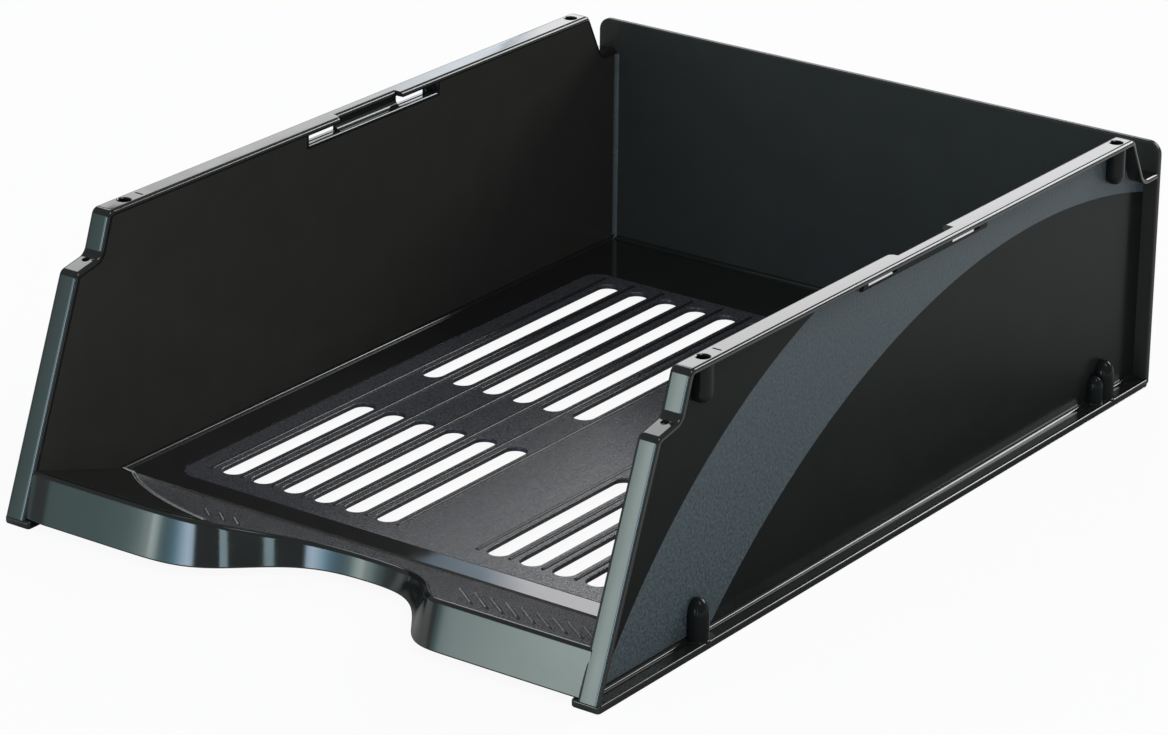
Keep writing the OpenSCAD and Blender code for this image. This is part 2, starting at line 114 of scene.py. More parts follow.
camera_data = bpy.data.cameras.new("camera")
camera_data.sensor_width = sensor_width
camera_data.lens = focal_in_pixels / picture_width * sensor_width
camera_data.clip_end = 50
camera = new_object("camera", camera_data)
camera.matrix_world = (
    Matrix.Translation(camera_place)
    @ Matrix.Rotation(camera_turn, 4, "Z")
    @ Matrix.Rotation(math.pi / 2 - camera_tilt, 4, "X")
    @ Matrix.Rotation(camera_roll, 4, "Z")
)
bpy.context.scene.camera = camera
print("lens", round(camera_data.lens, 1), "mm")

# %% [markdown]
# ## Finishes
# Moulded plastic is never quite even. Two effects are shared: a fine grain, as spark erosion
# leaves it in the mould, and a faint waviness of the polished faces. Photographs of plastic could
# be wrapped round the pieces, but noise in the object's own coordinates needs no unwrapping and
# never repeats. Each effect is a node group with named inputs, which every material sets.

# %% Node helpers
def feed(tree, node, inputs):
    """Sets a node's inputs. Each is a value or the socket that it comes from."""
    for socket, source in inputs.items():
        if isinstance(source, bpy.types.NodeSocket):
            tree.links.new(source, node.inputs[socket])
        else:
            node.inputs[socket].default_value = source


def add_node(tree, kind, inputs, **options):
    """A new node with its inputs and its options."""
    node = tree.nodes.new(kind)
    for option, value in options.items():
        setattr(node, option, value)
    feed(tree, node, inputs)
    return node


def new_group(name, inputs, outputs):
    """An empty shader group. inputs are (name, default), outputs are names."""
    group = bpy.data.node_groups.new(name, "ShaderNodeTree")
    for label, default in inputs:
        socket = group.interface.new_socket(label, in_out="INPUT", socket_type="NodeSocketFloat")
        socket.default_value = default
    for label in outputs:
        group.interface.new_socket(label, in_out="OUTPUT", socket_type="NodeSocketFloat")
    place = group.nodes.new("ShaderNodeTexCoord").outputs["Object"]
    return group, group.nodes.new("NodeGroupInput"), group.nodes.new("NodeGroupOutput"), place


def noise(tree, place, scale, detail):
    """A noise texture. scale counts lumps per metre."""
    node = add_node(tree, "ShaderNodeTexNoise", {"Vector": place, "Scale": scale, "Detail": detail})
    return node.outputs["Fac"]


def map_range(tree, value, low=0.0, high=1.0):
    """A noise value stretched to the range from low to high."""
    node = add_node(tree, "ShaderNodeMapRange", {
        "Value": value, "From Min": 0.3, "From Max": 0.7, "To Min": low, "To Max": high})
    return node.outputs["Result"]


# %% Shader group: moulded grain
grain, given, result, place = new_group(
    "moulded grain", [("Scale", 1600.0), ("Contrast", 0.5)], ["Height", "Speckle"]
)
fine = noise(grain, place, given.outputs["Scale"], 3.0)
coarse = noise(grain, place, 260.0, 1.0)
speckle = add_node(grain, "ShaderNodeMix", {
    "Factor": given.outputs["Contrast"], "A": coarse, "B": map_range(grain, fine)})
feed(grain, result, {"Height": fine, "Speckle": speckle.outputs["Result"]})
print("grain group:", len(grain.nodes), "nodes")

# %% Shader group: moulding flow
flow, given, result, place = new_group("moulding flow", [("Scale", 9.0)], ["Height", "Haze"])
feed(flow, result, {"Height": noise(flow, place, given.outputs["Scale"], 1.0),
                    "Haze": noise(flow, place, 70.0, 4.0)})
print("flow group:", len(flow.nodes), "nodes")

# %% [markdown]
# The polished finish is almost black and very smooth: what is seen of it is what it mirrors. Its
# roughness varies a little with the haze, and the flow gives its faces a hardly visible swell.
# The grained finish is rougher and greyer. One material with a mask could hold both; two builders
# on one recipe are easier to tune, because each finish then has its own few numbers.

# %% Material recipe
def plastic(name, effect, effect_inputs, dark, light, rough, bump, specular):
    """A plastic. The effect's height makes its bump, its other output its colour and roughness."""
    material = bpy.data.materials.new(name)
    material.use_nodes = True
    tree = material.node_tree
    group = add_node(tree, "ShaderNodeGroup", effect_inputs, node_tree=effect)
    height, mask = group.outputs
    colour = add_node(tree, "ShaderNodeMix", {0: mask, 6: (*dark, 1), 7: (*light, 1)},
                      data_type="RGBA")
    relief = add_node(tree, "ShaderNodeBump", {"Height": height, **bump})
    feed(tree, tree.nodes["Principled BSDF"], {
        "Base Color": colour.outputs[2], "Roughness": map_range(tree, mask, *rough),
        "Specular IOR Level": specular, "Normal": relief.outputs["Normal"]})
    return material


def polished(name, dark, light, rough, specular=0.5):
    """Glossy black plastic."""
    return plastic(name, flow, {"Scale": 9.0}, dark, light, rough,
                   {"Strength": 0.05, "Distance": 0.001}, specular)


def grained(name, dark, light, rough, scale, contrast, depth, specular=0.5):
    """Plastic with a fine moulded grain."""
    return plastic(name, grain, {"Scale": scale, "Contrast": contrast}, dark, light, rough,
                   {"Strength": depth, "Distance": 0.0002}, specular)


# %% The tray's materials
gloss_black = polished("gloss black", (0.012, 0.012, 0.011), (0.017, 0.017, 0.016), (0.05, 0.10))
# The wall black has about three times the base colour of the gloss black. This is painted light: it
# lifts the inner walls, the back wall and the strip at the foot of the ramp, which lie in shade
# inside the tray.
wall_black_painted_light = polished("wall black painted light", (0.0360, 0.0345, 0.0315), (0.0440, 0.0422, 0.0390),
                      (0.16, 0.24), 0.07)
outer_black = polished("outer black", (0.0100, 0.0115, 0.0110), (0.0150, 0.0170, 0.0163),
                       (0.16, 0.24), 0.05)
lug_black = polished("lug black", (0.010, 0.011, 0.011), (0.015, 0.016, 0.016), (0.06, 0.12), 0.12)
edge_black = polished("edge black", (0.014, 0.014, 0.014), (0.022, 0.022, 0.022), (0.20, 0.30))
grained_floor = grained("grained floor", (0.026, 0.027, 0.030), (0.084, 0.083, 0.094),
                        (0.21, 0.33), 1700, 0.8, 0.55)
grained_band = grained("grained band", (0.022, 0.034, 0.040), (0.092, 0.120, 0.138),
                       (0.42, 0.6), 900, 0.85, 0.7, 0.4)
# The corner material is a light grey. It is a painted highlight for the light line down each back
# corner.
corner_painted_highlight = polished("corner painted highlight", (0.07, 0.075, 0.075), (0.13, 0.135, 0.135), (0.20, 0.30))
# The painted highlight is a light grey. It stands for the light lines on the pad's edge and on the
# crests of the grip ribs.
painted_highlight = grained("painted highlight", (0.30, 0.31, 0.31), (0.62, 0.63, 0.63), (0.25, 0.4), 900, 0.8, 0.3)
print("materials:", len(bpy.data.materials))

# %% [markdown]
# ## Ways of making the pieces
# Three builders make nearly everything. A plate is a flat outline, perhaps with holes, whose edges
# are rounded. A sweep carries a section along a path. A turned piece spins a profile round an
# axis. Solidify, Bevel and Screw modifiers could do the same; written out, every rounding has the
# radius that is asked for, also where two of them meet. All faces look outwards.

# %% Mesh helper
def make_mesh(name, points, faces, material):
    """An object from points in millimetres, cleaned, with faces outwards."""
    mesh = bpy.data.meshes.new(name)
    mesh.from_pydata([Vector(point) * MM for point in points], [], faces)
    clean = bmesh.new()
    clean.from_mesh(mesh)
    bmesh.ops.remove_doubles(clean, verts=clean.verts, dist=0.002 * MM)
    bmesh.ops.dissolve_degenerate(clean, edges=clean.edges, dist=0.001 * MM)
    bmesh.ops.recalc_face_normals(clean, faces=clean.faces)
    clean.to_mesh(mesh)
    clean.free()
    mesh.materials.append(material)
    return new_object(name, mesh)


def apply_modifiers(piece):
    """Turns the piece with its modifiers into a plain mesh."""
    graph = bpy.context.evaluated_depsgraph_get()
    done = bpy.data.meshes.new_from_object(piece.evaluated_get(graph))
    piece.modifiers.clear()
    piece.data = done
    return piece


crease = 38  # degrees; steeper edges stay sharp


def soften(piece):
    """Smooth shading, led by the large faces."""
    for polygon in piece.data.polygons:
        polygon.use_smooth = True
    piece.data.set_sharp_from_angle(angle=math.radians(crease))
    weigh = piece.modifiers.new("weigh", "WEIGHTED_NORMAL")
    weigh.keep_sharp = True
    return apply_modifiers(piece)


def mirrored(points, right):
    """The points as they are, or mirrored to the left side of the tray."""
    return points if right else [(-x, y, z) for x, y, z in points]


def skin(count, rings, start=0):
    """Faces between rings of count points each. The first point is number start."""
    faces = []
    for ring in range(rings - 1):
        a, b = start + ring * count, start + (ring + 1) * count
        faces += [(a + i, a + (i + 1) % count, b + (i + 1) % count, b + i) for i in range(count)]
    return faces


def quarter_turn(steps):
    """Angles from 0 to 90 degrees, in radians."""
    return [math.pi / 2 * i / steps for i in range(steps + 1)]


# %% Plate builder
def inset(loop, distance):
    """A closed outline moved to its left by distance."""
    moved = []
    count = len(loop)
    for i, point in enumerate(loop):
        before = (point - loop[i - 1]).normalized()
        after = (loop[(i + 1) % count] - point).normalized()
        left = Vector((-before.y, before.x)) + Vector((-after.y, after.x))
        moved.append(point + left * (distance / max(left.length_squared / 2, 0.3)))
    return moved


def rounding(edge, low, high):
    """(inset, height) of the rings that round both edges of a plate."""
    turns = quarter_turn(4)
    up = [(edge * (1 - math.sin(t)), low + edge * (1 - math.cos(t))) for t in turns]
    down = [(edge * (1 - math.sin(t)), high - edge * (1 - math.cos(t))) for t in reversed(turns)]
    return up + down


def plate(name, loops, low, high, edge, material, place=lambda a, b, h: (a, b, h)):
    """A flat piece. loops[0] runs anticlockwise, holes clockwise; place puts it in space."""
    rings = rounding(edge, low, high)
    points, faces, starts = [], [], []
    for loop in loops:
        starts.append(len(points))
        for distance, height in rings:
            points += [place(p.x, p.y, height) for p in inset(loop, distance)]
        faces += skin(len(loop), len(rings), starts[-1])
    for ring in (0, len(rings) - 1):
        flat = [inset(loop, rings[ring][0]) for loop in loops]
        index = [
            start + ring * len(loop) + i
            for start, loop in zip(starts, loops)
            for i in range(len(loop))
        ]
        for triangle in tessellate_polygon([[p.to_3d() for p in loop] for loop in flat]):
            faces.append(tuple(index[i] for i in triangle))
    return make_mesh(name, points, faces, material)


# %% Sweep and turning builders
def sweep(name, sections, material):
    """A closed section carried through a list of places, with both ends closed."""
    points = [point for section in sections for point in section]
    count = len(sections[0])
    faces = skin(count, len(sections))
    faces.append(tuple(range(count)))
    faces.append(tuple(range(len(points) - count, len(points))))
    return make_mesh(name, points, faces, material)


def turned(name, profile, centre, material, right):
    """A profile of (radius, height) spun round an upright axis. It starts and ends on the axis."""
    segments = 48
    angles = [2 * math.pi * i / segments for i in range(segments)]
    points = [(centre[0] + radius * math.cos(t), centre[1] + radius * math.sin(t), height)
              for radius, height in profile for t in angles]
    return make_mesh(name, mirrored(points, right), skin(segments, len(profile)), material)


def arc(centre, radius, start, end, steps=8):
    """Points of an arc, angles in degrees."""
    turns = [math.radians(start + (end - start) * i / steps) for i in range(steps + 1)]
    return [Vector((centre[0] + radius * math.cos(t), centre[1] + radius * math.sin(t)))
            for t in turns]


def pairs(points):
    """The points as pairs of numbers."""
    return [(p.x, p.y) for p in points]


def rectangle(left, low, right, high):
    """An outline of four corners, anticlockwise."""
    return [Vector(corner) for corner in ((left, low), (right, low), (right, high), (left, high))]


def settle(piece, node_names):
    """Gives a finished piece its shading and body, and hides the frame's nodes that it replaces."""
    soften(piece)
    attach(piece, "root")
    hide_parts(*node_names)
    print(piece.name, len(piece.data.polygons), "faces")
    return piece


SIDES = (("right", True), ("left", False))

# %% [markdown]
# ## The side outline
# Seen from the side, the rim climbs the sloping front, makes a small step, runs level along the
# top and drops in a soft S to a low ledge at the back. It is one path with rounded bends; every
# place on it keeps the direction that points out of the tray, so that sections can follow it. A
# bevelled curve object could follow the same path, but it would blur the tight bends.

# %% Side path
slope_run, step_drop = 32, 18  # the sloping front
step_run, step_rise, upper_run = 12.2, 2.5, 5.5  # the step above it
rim_back_gap, notch_back_gap, notch_drop = 21, 12, 18.2  # the drop at the back
flange_t = 2
bend_r, wide_bend_r = 3.2, 4.2
tuck, slight_tuck = 0.1, 0.05  # how far hidden edges run into their neighbours

foot = Vector((front_y, rail_h))
slope_top = Vector((front_y + slope_run, tray_h - step_drop))
step_back = slope_top + Vector((step_run, step_rise))
front_top = Vector((step_back.x + upper_run, tray_h))
back_top = Vector((back_y - rim_back_gap, tray_h))
notch_foot = Vector((back_y - notch_back_gap, tray_h - notch_drop))
ledge_end = Vector((back_in + tuck, tray_h - notch_drop))


def spokes(first, opening, steps):
    """first, turned step by step through an angle."""
    fan = []
    for i in range(steps + 1):
        spoke = first.copy()
        spoke.rotate(Matrix.Rotation(-opening * i / steps, 2))
        fan.append(spoke)
    return fan


def bend(before, corner, after, radius):
    """(place, outward direction) round a corner. The outside lies on the left of the way."""
    back, on = (before - corner).normalized(), (after - corner).normalized()
    half = back.angle(on) / 2
    centre = corner + (back + on).normalized() * radius / math.sin(half)
    way = (corner - before).normalized()
    outside = Vector((-way.y, way.x))
    sign = -1 if (centre - corner).dot(outside) > 0 else 1
    start = corner + back * radius / math.tan(half) - centre
    end = corner + on * radius / math.tan(half) - centre
    return [(centre + spoke, spoke.normalized() * sign)
            for spoke in spokes(start, start.angle_signed(end), 8)]


corners = [foot, slope_top, step_back, front_top, back_top, notch_foot, ledge_end]
bend_radii = [bend_r, wide_bend_r, bend_r, bend_r, wide_bend_r]
slope = (slope_top - foot).normalized()
side_path = [(foot, Vector((-1 / slope.y, 0)))]
for i, radius in enumerate(bend_radii):
    side_path += bend(corners[i], corners[i + 1], corners[i + 2], radius)
side_path.append((ledge_end, Vector((0, 1))))
print("side path:", len(side_path), "places")


def under_rim(depth):
    """The side outline moved inwards by depth."""
    return [place - out * depth for place, out in side_path]


# %% [markdown]
# The rim and the front flange are one ribbon, 2 mm thick, that stands out from the wall. Its
# inner and outer top edges are well rounded: they catch the long white lights. Over the clip pocket
# its inner half is cut back, with a round end in front and a square one behind. The notch could
# be cut out; worked into the path, it costs nothing and keeps its edges round. Only the holes and
# the slit behind the front ones are cut out, with a Boolean modifier.

# %% Rim and flange
rim_inner_r, rim_outer_r, rim_under_r = 1.6, 1.3, 0.4
window_len = 18
window_front, window_back = pocket_y + 3, pocket_end - 5 - window_len
notch_depth, notch_r = 3, 2
notch_start = window_front + window_len + 0.4
notch_stop = window_back + 0.4
hole_r, hole_flare = 2.4, 0.35
step_hole_r, step_hole_flare, step_hole_depth = 1.5, 0.1, 8
sharp = 0.01  # the radius of an edge that stays sharp
mark_len, mark_w, mark_gap = 3.6, 0.9, 7.6  # the small slit behind the front hole


def ribbon_section(place, out, inner_x):
    """The ribbon's section as points in space."""
    outline = [(inner_x, flange_t)]
    outline += pairs(arc((inner_x + rim_inner_r, rim_inner_r), rim_inner_r, 180, 270, 5))
    outline += pairs(arc((rim_out - rim_outer_r, rim_outer_r), rim_outer_r, 270, 360, 6))
    outline += pairs(arc((rim_out - rim_under_r, flange_t - rim_under_r), rim_under_r, 0, 90, 3))
    return [(x, place.x - out.x * depth, place.y - out.y * depth) for x, depth in outline]


def notched_path():
    """(place, outward direction, inner edge) along the ribbon, with the notch worked in."""
    up = Vector((0, 1))
    stops = [(notch_start - notch_r + notch_r * math.sin(t), notch_depth * (1 - math.cos(t)))
             for t in quarter_turn(6)]
    stops += [(notch_stop, notch_depth), (notch_stop, 0)]
    notch = [(Vector((y, tray_h)), up, wall_in + depth) for y, depth in stops]
    front = [(p, out, wall_in) for p, out in side_path if p.x < stops[0][0]]
    back = [(p, out, wall_in) for p, out in side_path if p.x > notch_stop]
    return front + notch + back


def cut_away(piece, cutter):
    """Takes the cutter's space out of the piece."""
    change = piece.modifiers.new("cut", "BOOLEAN")
    change.operation = "DIFFERENCE"
    change.solver = "EXACT"
    change.object = cutter
    apply_modifiers(piece)
    bpy.data.objects.remove(cutter)


def hole_tool(radius, flare, top, bottom):
    """A drill's outline: straight, and flared at the mouth to break the edge."""
    return [(0, bottom), (radius, bottom), (radius, top - flare), (radius + flare, top),
            (radius + flare + 1, top + 1), (0, top + 1)]


for side, right in SIDES:
    sections = [
        mirrored(ribbon_section(p, out, inner), right) for p, out, inner in notched_path()
    ]
    rim = sweep("rim_" + side, sections, gloss_black)
    for y in (pin_front_y, pin_back_y):
        cut_away(rim, turned("drill", hole_tool(hole_r, hole_flare, tray_h, rim_low - 1),
                             (pin_x, y), gloss_black, right))
    ledge_z = tray_h - step_drop + step_rise * 0.75  # the step, at the hole's place
    drill = hole_tool(step_hole_r, step_hole_flare, ledge_z + 0.3, ledge_z - step_hole_depth)
    cut_away(rim, turned("drill", drill, ((wall_in + rim_out) / 2, step_back.x - 2 * step_hole_r),
                         gloss_black, right))
    mark = rectangle(pin_x - mark_len / 2, 0, pin_x + mark_len / 2, mark_w)
    mark_y = pin_front_y + mark_gap
    cut_away(rim, plate("slit", [mark], tray_h - flange_t / 3, tray_h + 1, sharp, gloss_black,
                        lambda a, b, h: (a if right else -a, b + mark_y, h)))
    settle(rim, ["front_flange_" + side, "top_rim_" + side])

# %% [markdown]
# ## Side walls and their bands
# The wall is a flat sheet in two layers. The outer layer leaves room for the grained arc, which
# lies a hair lower than the polished face, as a grain always does in a mould. A mask in one
# material could paint the arc; a layer of its own gives it a true edge.

# %% Side walls
band_start, band_foot, band_top = 8.8, 70.7, 143.6
band_back_drop, band_top_rise, band_low_rise = 26.5, 14.7, 38.5
band_step = 0.05  # how much lower the grain lies
field_edge, band_edge = 0.08, 0.02


def chord_arc(start, end, rise, steps):
    """Points of an arc from start to end that bulges by rise to the left of the way."""
    half = (end - start).length / 2
    radius = (half * half + rise * rise) / (2 * rise)
    way = (end - start).normalized()
    left = Vector((-way.y, way.x))
    centre = (start + end) / 2 + left * (rise - radius)
    opening = 2 * math.asin(half / radius)
    return [centre + spoke for spoke in spokes(start - centre, opening, steps)]


wall_foot = rail_h - tuck
upper_arc = chord_arc(Vector((front_y + band_start, wall_foot)),
                      Vector((front_y + band_top, rim_low + tuck)), band_top_rise, 64)
lower_arc = chord_arc(Vector((front_y + band_foot, wall_foot)),
                      Vector((back_in, tray_h - band_back_drop)), band_low_rise, 64)
rim_line = under_rim(flange_t - slight_tuck)
pocket_gap = [Vector((pocket_y, rim_low + slight_tuck)), Vector((pocket_y, pocket_low)),
              Vector((pocket_end, pocket_low)), Vector((pocket_end, rim_low + slight_tuck))]
before_band = [p for p in rim_line if p.x < upper_arc[-1].x - 0.5]
after_band = [p for p in rim_line if p.x > pocket_end]
before_band[0].y = wall_foot
back_foot = Vector((back_in, wall_foot))


def upright(right):
    """Puts an outline of (y, z) at a place along x, on the right or the left."""
    return lambda a, b, h: (h if right else -h, a, b)


def anticlockwise(loop):
    """The loop turned anticlockwise."""
    area = sum(a.x * b.y - b.x * a.y for a, b in zip(loop, loop[1:] + loop[:1]))
    return loop if area > 0 else loop[::-1]


whole = anticlockwise(before_band + pocket_gap + after_band + [back_foot])
front_field = anticlockwise(before_band + [upper_arc[-1]] + upper_arc[-2::-1])
low_field = anticlockwise(lower_arc + [back_foot])
band_field = anticlockwise(upper_arc + pocket_gap + after_band + lower_arc[::-1])
for side, right in SIDES:
    for name, field, low, high, edge, material in (
            ("wall_", whole, wall_in, band_in, sharp, wall_black_painted_light),
            ("wall_front_", front_field, band_in, wall_out, field_edge, outer_black),
            ("wall_low_", low_field, band_in, wall_out, field_edge, outer_black)):
        settle(plate(name + side, [field], low, high, edge, material, upright(right)),
               ["side_wall_" + side])
    band = plate("band_" + side, [band_field], band_in, wall_out - band_step, band_edge,
                 grained_band, upright(right))
    settle(band, ["side_band_" + side])

# %% [markdown]
# ## Clip pockets
# Under each rim runs a scooped trough that is open to the inside, with a window at each end.
# It could be a block with three cuts. Here it is a sweep whose section changes: a full block at
# the ends, a trough with a skin between the windows, and a low sill where a window opens.

# %% Clip pockets
pocket_t, pocket_edge_r, break_r, sill = 1.4, 1.2, 0.25, 0.25
trough_floor, trough_side = pocket_low + pocket_t, pocket_out - pocket_t
sill_z = trough_floor + sill
trough_r, window_r = 2.6, 0.5  # the trough is scooped, and almost flat behind its windows


def pocket_section(y, ceiling, trough=True):
    """The section of the pocket at y; nothing of its skin is higher than ceiling."""
    top = rim_low + slight_tuck
    scoop_r = window_r if ceiling == sill_z else trough_r
    if trough:
        inside = [(wall_in, trough_floor - break_r), (wall_in + break_r, trough_floor)]
        inside += pairs(arc((trough_side - scoop_r, trough_floor + scoop_r), scoop_r, -90, 0))
        inside += [(trough_side, top), (pocket_out, top)]
    else:
        inside = [(wall_in, top)] * 11 + [(trough_side, top), (pocket_out, top)]
    edge = (pocket_out - pocket_edge_r, pocket_low + pocket_edge_r)
    below = pairs(arc(edge, pocket_edge_r, 0, -90, 5))
    outline = inside + below + [(wall_in, pocket_low)]
    return [(x, y, min(z, ceiling)) for x, z in outline]


uncut = tray_h  # a ceiling that cuts nothing away
stations = [(pocket_y, uncut, False), (pocket_y + pocket_t, uncut, False),
            (pocket_y + pocket_t, uncut, True)]
for window in (window_front, window_back):
    stations += [(window, uncut, True), (window, sill_z, True)]
    stations += [(window + window_len, sill_z, True), (window + window_len, uncut, True)]
stations += [(pocket_end - pocket_t, uncut, True), (pocket_end - pocket_t, uncut, False),
             (pocket_end, uncut, False)]
for side, right in SIDES:
    pocket = sweep("pocket_" + side, [mirrored(pocket_section(*s), right) for s in stations],
                   gloss_black)
    pocket.data.materials.append(outer_black)
    for face in pocket.data.polygons:
        if face.normal.z < 0.3 and abs(face.center.x) > (pocket_out - pocket_edge_r - 0.1) * MM:
            face.material_index = 1
    settle(pocket, ["clip_pocket_" + side])

# %% [markdown]
# ## Sockets and lugs
# A stacking pin drops into a socket under the rim, and stands under a bullet-shaped lug of the
# tray above. Both are round, so a turned profile is the shortest way to them, where a cylinder and
# a sphere would leave a seam. The rear lugs have a second, lower lobe in front of them.

# %% Sockets and lugs
socket_r, socket_len, socket_hole, socket_gap = 3.8, 16, 11, 0.8
lug_r, lug_h, lug_hole, lug_flare = 4.1, 18, 9, 0.5
side_lug_r, side_lug_gap, side_lug_h = 3.2, 6.2, 13.5

socket_low = tray_h - socket_len
socket_profile = pairs(arc((0, socket_low + socket_r), socket_r, -90, 0, 10))
socket_profile += [(socket_r, tray_h - socket_gap), (hole_r, tray_h - socket_gap)]
socket_profile += [(hole_r, tray_h - socket_hole), (0, tray_h - socket_hole)]


def bullet(radius, height, hole):
    """Profile of a lug: a hole in its foot, a small flare on the ledge and a long dome."""
    dome = min(lug_r * 1.5, height / 2) * radius / lug_r
    profile = [(0, hole), (hole_r, hole), (hole_r, 0)] if hole else [(0, 0.2)]
    profile += [(radius, 0), (radius, rail_h - 0.5), (radius + lug_flare, rail_h - 0.4)]
    profile += [(radius + lug_flare - p.x, p.y)
                for p in arc((0, rail_h + lug_flare), lug_flare, -90, 0, 4)]
    profile += [(radius * math.cos(t), height - dome + dome * math.sin(t))
                for t in quarter_turn(12)]
    return profile


for side, right in SIDES:
    for end, y in (("front", pin_front_y), ("rear", pin_back_y)):
        place = end + "_" + side
        settle(turned("socket_" + place, socket_profile, (pin_x, y), lug_black, right),
               ["rim_socket_" + place])
        settle(turned("lug_" + place, bullet(lug_r, lug_h, lug_hole), (pin_x, y), lug_black, right),
               ["stacking_lug_" + place])
    lobe = turned("lug_lobe_" + side, bullet(side_lug_r, side_lug_h, 0),
                  (pin_x, pin_back_y - side_lug_gap), lug_black, right)
    settle(lobe, ["stacking_lug_rear_" + side])

# %% [markdown]
# ## Base rails and back wall
# The tray stands on two rails, whose outer edge is nearly half round and shows as a double
# light line. A cove eases each rail into its wall. The back wall is a plate with rounded
# corners, a little wider than the walls. A bevelled box would round all its edges alike; an
# outline can give each corner its own radius.

# %% Base rails
foot_corner, rail_edge, lapped_corner = 1.6, 0.9, 0.2  # the lapped corners lie in the back wall


def rounded_box(left, low, right, high, radii):
    """A rectangle with its own radius at each corner, anticlockwise from the lower left."""
    loop = []
    loop += arc((left + radii[0], low + radii[0]), radii[0], 180, 270, 6)
    loop += arc((right - radii[1], low + radii[1]), radii[1], 270, 360, 6)
    loop += arc((right - radii[2], high - radii[2]), radii[2], 0, 90, 6)
    loop += arc((left + radii[3], high - radii[3]), radii[3], 90, 180, 6)
    return loop


rail_loop = rounded_box(rail_in, front_y, rail_out, back_in + lapped_corner,
                        (foot_corner, foot_corner, lapped_corner, lapped_corner))
for side, right in SIDES:
    rail = plate("rail_" + side, [rail_loop], 0, rail_h, rail_edge, gloss_black,
                 lambda a, b, h: (a if right else -a, b, h))
    settle(rail, ["base_rail_" + side])

# %% Foot of the walls
foot_cove_r, foot_flat, buried, foot_start = 1.2, 0.6, 0.3, 3
off_face = 0.005  # a cove's flat ends lie this much under the faces beside it, or over, at the foot


def cove_outline(radius, flat, into, under, sunk):
    """(distance into the wall, height above the floor) round a cove's section."""
    reach = radius + flat
    hollow = pairs(arc((-radius, radius), radius, -90, 0))
    return [(-reach, -sunk)] + hollow + [(sunk, reach), (into, reach), (into, -under),
                                         (-reach, -under)]


for side, right in SIDES:
    outline = cove_outline(foot_cove_r, foot_flat, buried, buried, -off_face)
    rows = [mirrored([(wall_out - d, y, rail_h + h) for d, h in outline], right)
            for y in (front_y + foot_start, back_in + tuck)]
    settle(sweep("foot_cove_" + side, rows, gloss_black), ["base_rail_" + side])

# %% Back wall
back_corner_r, back_foot_r, back_edge = 5, 1.6, 0.6
back_loop = rounded_box(-rim_out, 0, rim_out, back_h,
                        (back_foot_r, back_foot_r, back_corner_r, back_corner_r))
back = plate("back", [back_loop], back_in, back_y, back_edge, wall_black_painted_light,
             lambda a, b, h: (a, h, b))
settle(back, ["back_wall"])

# %% [markdown]
# ## Floor
# The polished border and the grained panel are two plates that meet in a hair line. Coves run
# where the floor meets the walls; they show as a fine light line. The slots could be cut with
# Booleans; as holes in the panel's outline they get the same rounded edges as the rest.

# %% Floor panel with its slots
panel_r, slot_edge = 8, 0.6
slot_w, slot_pitch, slot_margin = 8.4, 13.9, 15.8
slots_left, slots_right = 6, 5
row_margin, row_back_margin, front_row, row_bridge = 10, 8, 82.5, 34
row_front = panel_front + row_margin
back_row = panel_back - row_back_margin - row_front - front_row - row_bridge
slot_x = panel_half - slot_margin
slot_places = [-slot_x + i * slot_pitch for i in range(slots_left)]
slot_places += [slot_x - i * slot_pitch for i in range(slots_right)]


def slot_loop(x, start, length):
    """A slot with round ends, clockwise, as a hole has to run."""
    radius = slot_w / 2
    loop = arc((x, start + length - radius), radius, 0, 180, 12)
    loop += arc((x, start + radius), radius, 180, 360, 12)
    return loop[::-1]


panel_loop = rounded_box(-panel_half, panel_front, panel_half, panel_back, (panel_r,) * 4)
slots = [slot_loop(x, row_front, front_row) for x in slot_places]
slots += [slot_loop(x, row_front + front_row + row_bridge, back_row) for x in slot_places]
panel = plate("panel", [panel_loop] + slots, rail_h, floor_z, slot_edge, grained_floor)
settle(panel, ["floor_panel"])
print("slots in the floor:", len(slots))

# %% Floor border and coves
cove_r, cove_flat, cove_t = 1.4, 1.0, 0.4
lap, ramp_lap = 0.5, 0.3  # the border runs this far into the walls and the ramp
border_edge = 0.05
border_loop = rectangle(-wall_in - lap, ramp_y - ramp_lap, wall_in + lap, back_in + lap)
border = plate("border", [border_loop, panel_loop[::-1]], rail_h, floor_z, border_edge, gloss_black)
settle(border, ["floor_border_" + s for s in ("left", "right", "front", "back")])


def cove_section(place, outward):
    """A cove's section at a place on the wall line; outward points into the wall."""
    return [(place.x + outward.x * d, place.y + outward.y * d, floor_z + h)
            for d, h in cove_outline(cove_r, cove_flat, cove_t, lap, off_face)]


cove_path = [(Vector((-wall_in, ramp_y - 1)), Vector((-1, 0)))]
for corner, start in ((Vector((-wall_in, back_in)), 180), (Vector((wall_in, back_in)), 90)):
    inward = Vector((cove_r if corner.x < 0 else -cove_r, -cove_r))
    for i in range(9):
        angle = math.radians(start - 90 * i / 8)
        out = Vector((math.cos(angle), math.sin(angle)))
        cove_path.append((corner + inward + out * cove_r, out))
cove_path.append((Vector((wall_in, ramp_y - 1)), Vector((1, 0))))
coves = sweep("coves", [cove_section(p, out) for p, out in cove_path], gloss_black)
settle(coves, ["floor_border_left", "floor_border_right", "floor_border_back"])

cove_top = tray_h - notch_drop - flange_t
# The corner coves take the light grey material. It is a painted highlight down each back corner.
for side, right in SIDES:
    outline = cove_outline(cove_r, cove_flat, cove_t, cove_t, off_face)
    rows = [mirrored([(wall_in + d, back_in - h, z) for d, h in outline], right)
            for z in (floor_z + cove_r, cove_top)]
    settle(sweep("corner_cove_highlight_" + side, rows, corner_painted_highlight), ["back_wall"])

# %% [markdown]
# ## Ramp and lip
# In front the floor rises as a flat ramp and ends in a leaning apron, the lip, that swings back
# in a long wave to leave room for the fingers. A hand-drawn curve could give the wave; two soft
# steps give it with a few numbers, and with no kink that a polished face would show. The lip is a
# sweep along that wave: a small bead on top, the face, and a lower edge that is cut off level.

